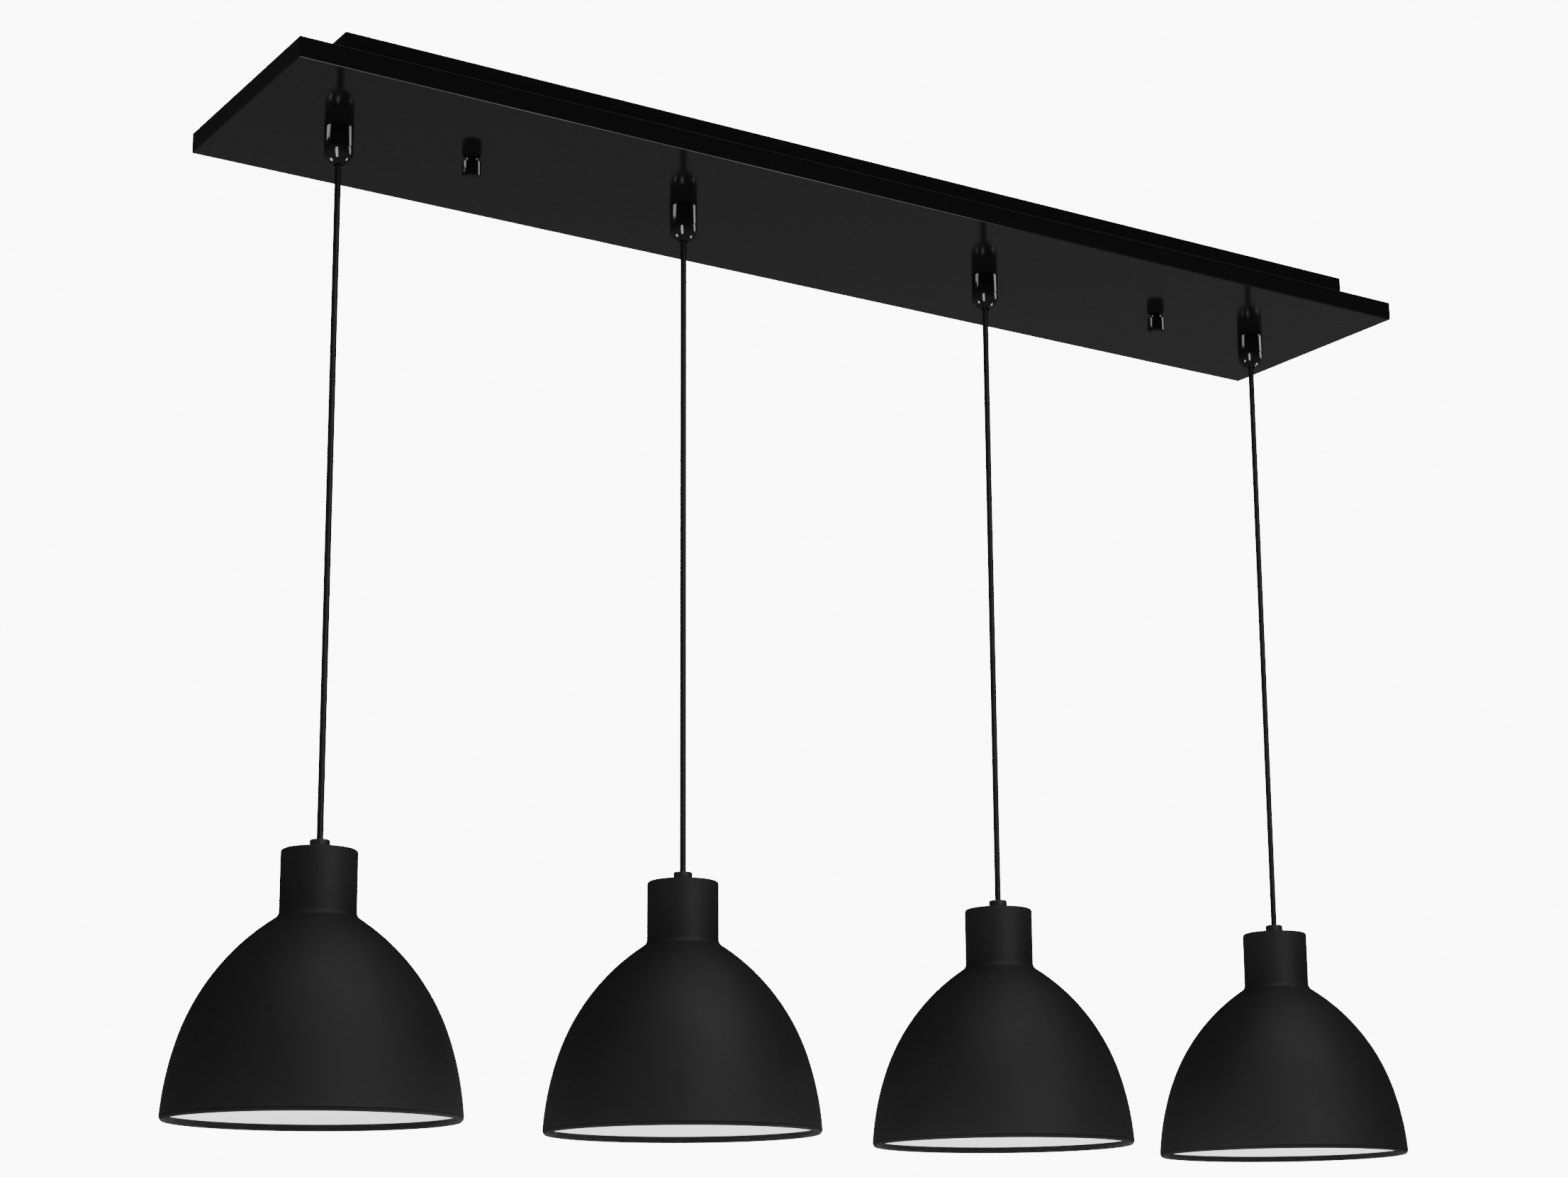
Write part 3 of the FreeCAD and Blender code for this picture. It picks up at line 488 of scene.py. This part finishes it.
def make_grip_sleeves(material):
    """The grips' fixed upper halves, each with a rounded top and bottom edge and a spigot."""
    low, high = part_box("grip_sleeves")
    outer = 10.5 * MM
    cap_gap = 0.3 * MM
    sleeve_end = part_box("grip_cap_1")[1].z + cap_gap - high.z
    spigot = 8 * MM
    spigot_end = low.z - high.z
    nipple_hole = 5 * MM
    nipple_end = -11 * MM
    cord_hole = 2.9 * MM
    top_edge = 0.6 * MM
    bottom_edge = 0.3 * MM
    profile = [(nipple_hole, 0), (outer - top_edge, 0)]
    profile += rounded_corner(outer, 0, top_edge, 0)
    profile += rounded_corner(outer, sleeve_end, bottom_edge, 1)
    profile += [(spigot, sleeve_end), (spigot, spigot_end), (cord_hole, spigot_end),
                (cord_hole, nipple_end), (nipple_hole, nipple_end)]
    piece = lathe("grip_sleeves_gloss", profile, AXES.values(), 96, [material], top=high.z)
    stand_in(piece, "canopy", "grip_sleeves")
    return piece


def make_grip_cap(number, material):
    """A grip's bullet-shaped cap, with a bead at its tip round the mouth for the cord."""
    low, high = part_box(f"grip_cap_{number}")
    outer = (high.x - low.x) / 2
    tall = high.z - low.z
    straight_end = -3 * MM
    bullet_radius = 12 * MM
    tip = 5.2 * MM
    bead = 0.5 * MM
    bead_inset = 0.1 * MM
    bead_turn = 4           # degrees at the bullet's end that are left to the bead
    mouth = 3.6 * MM
    mouth_edge = 0.4 * MM
    mouth_top = -tall + 3 * MM
    seal_seat = 5.2 * MM
    bore = 8.05 * MM
    bore_end = -6.7 * MM
    top_edge = 0.3 * MM
    centre = shared_centre((outer, straight_end), (tip, -tall), bullet_radius)
    bullet_start = angle_at(centre, (outer, straight_end))
    bullet_end = angle_at(centre, (tip, -tall)) + bead_turn
    profile = rounded_corner(outer, 0, top_edge, 0)
    profile += arc(centre, bullet_radius, bullet_start, bullet_end, 14)
    profile += arc((tip - bead_inset, -tall + bead), bead, -35, -90, 4)
    profile += arc((mouth + mouth_edge, -tall + mouth_edge), mouth_edge, -90, -180, 4)
    profile += [(mouth, mouth_top), (seal_seat, mouth_top), (bore, bore_end), (bore, 0)]
    piece = lathe(f"grip_bullet_{number}", profile, [AXES[number]], 96, [material], top=high.z)
    stand_in(piece, f"grip_cap_{number}", f"grip_cap_{number}")
    return piece


def make_thumb_nut(side, material):
    """A closed nut with rounded ends and a slim neck against the tray."""
    node = f"thumb_nut_{side}"
    low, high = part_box(node)
    outer = (high.x - low.x) / 2
    tall = high.z - low.z
    neck_tall = 2.4 * MM
    neck = 4.8 * MM
    neck_fillet = 0.3 * MM
    neck_edge = 0.2 * MM
    bore = 2.55 * MM
    bore_end = -10 * MM
    inner_ring = 2 * MM     # an extra ring that keeps the shading of the closed end even
    bottom_edge = 1.2 * MM
    shoulder_edge = 0.7 * MM
    profile = [(0, bore_end), (0, -tall), (inner_ring, -tall)]
    profile += arc((outer - bottom_edge, -tall + bottom_edge), bottom_edge, -90, 0, 6)
    profile += rounded_corner(outer, -neck_tall, shoulder_edge, 0)[::-1]
    profile += [(neck + neck_fillet, -neck_tall), (neck, -neck_tall + neck_fillet),
                (neck, -neck_edge), (neck - neck_edge, 0), (bore, 0), (bore, bore_end)]
    centre = (low.x + high.x) / 2
    piece = lathe(f"{node}_gloss", profile, [centre], 96, [material], top=high.z)
    stand_in(piece, node, node)
    return piece


# ---------------------------------------------------------------- carried-over CAD nodes


def finish_node(node, material):
    """Gives a CAD node its material in every slot."""
    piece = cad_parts[node]
    if not piece.material_slots:
        piece.data.materials.append(material)
    for slot in piece.material_slots:
        slot.material = material


def finish_nodes(canopy, phenolic, rubber, cord):
    """Materials for the CAD nodes that no finer piece replaces."""
    steel = make_metal("zinc_plate", (0.55, 0.55, 0.56), (0.40, 0.40, 0.41), 0.32)
    brass = make_metal("plain_brass", (0.72, 0.52, 0.22), (0.50, 0.34, 0.13), 0.28)
    aluminium = make_metal("stamped_aluminium", (0.75, 0.75, 0.76), (0.55, 0.55, 0.56), 0.30)
    nylon = make_moulded("white_nylon", (0.72, 0.72, 0.69), (0.76, 0.76, 0.73), 0.45)
    glass = make_bulb_glass()
    finish_node("canopy_tray", canopy)
    finish_node("mounting_pan", canopy)
    finish_node("canopy_studs", steel)
    finish_node("grip_nipples", brass)
    finish_node("grip_locknuts", steel)
    finish_node("grip_seals", rubber)
    finish_node("inner_leads", cord)
    finish_node("terminal_block", nylon)
    finish_node("pan_screws", steel)
    for number in PENDANTS:
        finish_node(f"shade_nipple_{number}", brass)
        finish_node(f"shade_nut_{number}", steel)
        finish_node(f"socket_lead_{number}", cord)
        finish_node(f"socket_body_{number}", phenolic)
        finish_node(f"socket_shell_{number}", brass)
        finish_node(f"socket_contact_{number}", brass)
        finish_node(f"bulb_base_{number}", aluminium)
        finish_node(f"bulb_glass_{number}", glass)


# ---------------------------------------------------------------- floor and light

FLOOR_LEVEL = -1.25
FLOOR_RADIUS = 30
LAMP_MIDDLE = (0, 0, -0.6)
CEILING_MIDDLE = (0, 0, 0)
KEY_TURN = 34               # degrees to the right of the camera
KEY_DISTANCE = 3.2
KEY_TALL = 1.9
KEYS = ((4, 2.2, 1.1), (38, 2.2, 1.0), (68, 3.8, 1.15))       # rise in degrees, width, radiance
UPLIGHT_GAP = 0.02          # above the floor
UPLIGHT = (1.8, 1.0, 4.0)           # width, depth, radiance
OVERHEAD_LEVEL = 2.5
OVERHEAD = (1.2, 0.8, 180.0)        # width, depth, radiance
GRIP_LEVEL = -0.05
GLOSS_DISTANCE = 2.6
# Lights that only the gloss black pieces show: name, the kinds of piece that show it, turn and rise
# in degrees, width, height and radiance. The radiances go with the overhead light's own blocker
# collection: when no other light has one, the same streaks come out much dimmer.
GLOSS_LIGHTS = (
    ("left_strip", ("sleeve", "nut"), -78, 30, 1.3, 1.1, 4.0),
    ("right_strip", ("sleeve", "cap", "nut"), 106, 20, 1.1, 1.7, 4.0),
    ("left_catch", ("cap",), -78, -35, 0.7, 0.6, 16.0),
    ("right_catch", ("cap",), 104, -35, 0.7, 0.6, 12.0),
    ("front_catch", ("cap",), -12, -12, 0.8, 3.0, 10.0))


def make_floor():
    """A wide round floor that polished pieces don't reflect."""
    shape = bmesh.new()
    bmesh.ops.create_circle(shape, cap_ends=True, radius=FLOOR_RADIUS, segments=128)
    mesh = bpy.data.meshes.new("floor")
    shape.to_mesh(mesh)
    shape.free()
    mesh.materials.append(make_pale_floor())
    floor = bpy.data.objects.new("floor", mesh)
    bpy.context.scene.collection.objects.link(floor)
    floor.location = (0, 0, FLOOR_LEVEL)
    floor.visible_glossy = False
    return floor


def make_softbox(name, place, target, width, height, radiance):
    """A soft rectangular light at a place, turned toward a target."""
    data = bpy.data.lights.new(name, "AREA")
    data.shape = "RECTANGLE"
    data.size = width
    data.size_y = height
    data.energy = math.pi * width * height * radiance
    light = bpy.data.objects.new(name, data)
    bpy.context.scene.collection.objects.link(light)
    light.location = place
    light.rotation_euler = (Vector(target) - Vector(place)).to_track_quat("-Z", "Y").to_euler()
    light.visible_camera = False
    return light


def beside_camera(turn, distance, height):
    """A place at a turn in degrees to the right of the camera's side of the lamp."""
    heading = math.radians(-90 - CAMERA_YAW + turn)
    return (distance * math.cos(heading), distance * math.sin(heading), height)


def all_but(name, pieces):
    """A receiver collection for a light that leaves some pieces unlit."""
    unlit = bpy.data.collections.new(name)
    for piece in pieces:
        unlit.objects.link(piece)
    for item in unlit.collection_objects:
        item.light_linking.link_state = "EXCLUDE"
    return unlit


def only(name, pieces):
    """A receiver collection for a light that reaches just some pieces."""
    lit = bpy.data.collections.new(name)
    for piece in pieces:
        lit.objects.link(piece)
    return lit


def make_lights(glossy, canopy, floor):
    """A tall arch of soft light right of the camera, light from below, and strips for the gloss.

    The arch is flagged off the canopy, whose upright sides stay dark, off the gloss and off the
    floor. One more light, straight above, lights the canopy's upper side and nothing else."""
    gloss_pieces = glossy["sleeve"] + glossy["cap"] + glossy["nut"]
    gloss_blockers = only("gloss_pieces", gloss_pieces)
    canopy_set = only("canopy_pieces", canopy)
    key_receivers = all_but("unlit_by_keys", canopy + gloss_pieces + [floor])
    for rise, width, radiance in KEYS:
        reach = KEY_DISTANCE * math.cos(math.radians(rise))
        height = LAMP_MIDDLE[2] + KEY_DISTANCE * math.sin(math.radians(rise))
        key = make_softbox(f"key_{rise}", beside_camera(KEY_TURN, reach, height), LAMP_MIDDLE,
                           width, KEY_TALL, radiance)
        key.light_linking.receiver_collection = key_receivers
    uplight = make_softbox("uplight", (0, 0, FLOOR_LEVEL + UPLIGHT_GAP), CEILING_MIDDLE, *UPLIGHT)
    uplight.light_linking.receiver_collection = all_but("unlit_by_uplight", gloss_pieces)
    for name, kinds, turn, rise, width, tall, radiance in GLOSS_LIGHTS:
        reach = GLOSS_DISTANCE * math.cos(math.radians(rise))
        height = GRIP_LEVEL + GLOSS_DISTANCE * math.sin(math.radians(rise))
        strip = make_softbox(name, beside_camera(turn, reach, height), (0, 0, GRIP_LEVEL),
                             width, tall, radiance)
        shown_on = [piece for kind in kinds for piece in glossy[kind]]
        strip.light_linking.receiver_collection = only(f"shows_{name}", shown_on)
        strip.light_linking.blocker_collection = gloss_blockers
    overhead = make_softbox("overhead", (0, 0, OVERHEAD_LEVEL), CEILING_MIDDLE, *OVERHEAD)
    overhead.visible_glossy = False
    overhead.light_linking.receiver_collection = canopy_set
    overhead.light_linking.blocker_collection = canopy_set


WORLD_LIGHT = 1.7           # strength of the world's light on the lamp
WORLD_BEHIND = 10.0         # strength of the plain white that the camera sees
# What gloss shows of the world: the first strength in directions below the first height of a unit
# vector, the second strength above the second height, and a blend between.
WORLD_GLOSS_HEIGHTS = (-0.2, 0.25)
WORLD_GLOSS = (0.13, 0.03)


def make_world():
    """A white studio: even light on every surface, a plain white behind the lamp, dim in the gloss."""
    world = bpy.data.worlds.new("studio")
    bpy.context.scene.world = world
    world.use_nodes = True
    world.cycles.sampling_method = "NONE"
    tree = world.node_tree
    tree.nodes.clear()

    def background(strength):
        """A plain white background node."""
        node = tree.nodes.new("ShaderNodeBackground")
        node.inputs["Color"].default_value = (1, 1, 1, 1)
        node.inputs["Strength"].default_value = strength
        return node

    rays = tree.nodes.new("ShaderNodeLightPath")
    direction = tree.nodes.new("ShaderNodeTexCoord")
    split = tree.nodes.new("ShaderNodeSeparateXYZ")
    dim = tree.nodes.new("ShaderNodeMapRange")
    dim.inputs["From Min"].default_value, dim.inputs["From Max"].default_value = WORLD_GLOSS_HEIGHTS
    dim.inputs["To Min"].default_value, dim.inputs["To Max"].default_value = WORLD_GLOSS
    gloss = background(WORLD_GLOSS[0])
    tree.links.new(direction.outputs["Generated"], split.inputs["Vector"])
    tree.links.new(split.outputs["Z"], dim.inputs["Value"])
    tree.links.new(dim.outputs["Result"], gloss.inputs["Strength"])
    for_gloss = tree.nodes.new("ShaderNodeMixShader")
    for_camera = tree.nodes.new("ShaderNodeMixShader")
    output = tree.nodes.new("ShaderNodeOutputWorld")
    tree.links.new(rays.outputs["Is Glossy Ray"], for_gloss.inputs[0])
    tree.links.new(background(WORLD_LIGHT).outputs[0], for_gloss.inputs[1])
    tree.links.new(gloss.outputs[0], for_gloss.inputs[2])
    tree.links.new(rays.outputs["Is Camera Ray"], for_camera.inputs[0])
    tree.links.new(for_gloss.outputs[0], for_camera.inputs[1])
    tree.links.new(background(WORLD_BEHIND).outputs[0], for_camera.inputs[2])
    tree.links.new(for_camera.outputs[0], output.inputs["Surface"])


# ---------------------------------------------------------------- the lamp

make_camera()
cord_black = make_cord_black()
for pendant in PENDANTS:
    make_cord(pendant, cord_black)

canopy_black = make_canopy_black()
gloss_black = make_gloss_black()
shade_coats = [make_shade_black(), make_shade_white(), make_lip_black()]
bushing_black = make_moulded("black_nylon", (0.009, 0.009, 0.009), (0.014, 0.014, 0.014), 0.45)
phenolic_black = make_moulded("phenolic", (0.02, 0.018, 0.016), (0.03, 0.027, 0.024), 0.38)
seal_rubber = make_moulded("soft_rubber", (0.02, 0.02, 0.02), (0.03, 0.03, 0.03), 0.7)

glossy_pieces = {
    "sleeve": [make_grip_sleeves(gloss_black)],
    "nut": [make_thumb_nut(side, gloss_black) for side in ("left", "right")],
    "cap": [make_grip_cap(pendant, gloss_black) for pendant in PENDANTS]}
for pendant in PENDANTS:
    make_shade(pendant, shade_coats)
    make_bushing(pendant, bushing_black)
finish_nodes(canopy_black, phenolic_black, seal_rubber, cord_black)

pale_floor = make_floor()
make_world()
make_lights(glossy_pieces, [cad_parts["canopy_tray"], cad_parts["mounting_pan"]], pale_floor)
